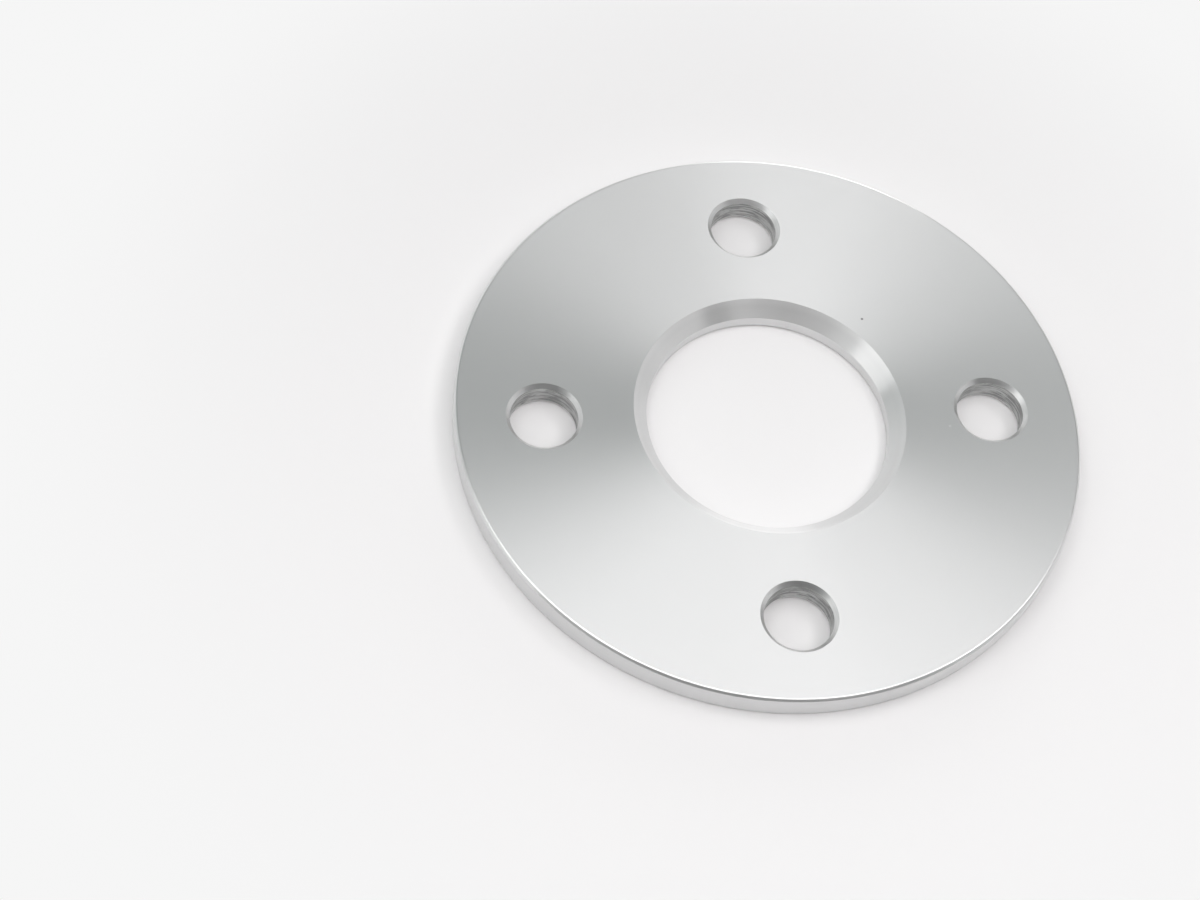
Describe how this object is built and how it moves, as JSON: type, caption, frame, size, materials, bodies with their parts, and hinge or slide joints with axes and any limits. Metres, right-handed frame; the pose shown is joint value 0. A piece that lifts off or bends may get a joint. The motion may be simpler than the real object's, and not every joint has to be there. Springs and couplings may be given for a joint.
{
  "type": "wheel spacer",
  "caption": "Flat round aluminium wheel spacer with a chamfered hub bore and a circle of chamfered stud holes, made to slip between a wheel and its hub.",
  "frame": {"origin": "on the bore axis, in the plane of the wheel face that the spacer lies on", "axes": "+Z along the bore axis, from the wheel face to the hub face; +X towards one stud hole"},
  "size_m": [0.139, 0.139, 0.0065],
  "materials": {
    "turned_aluminium": "fine turned, bare"
  },
  "bodies": {
    "root": {"spacer_disc": "turned_aluminium"}
  },
  "joints": []
}
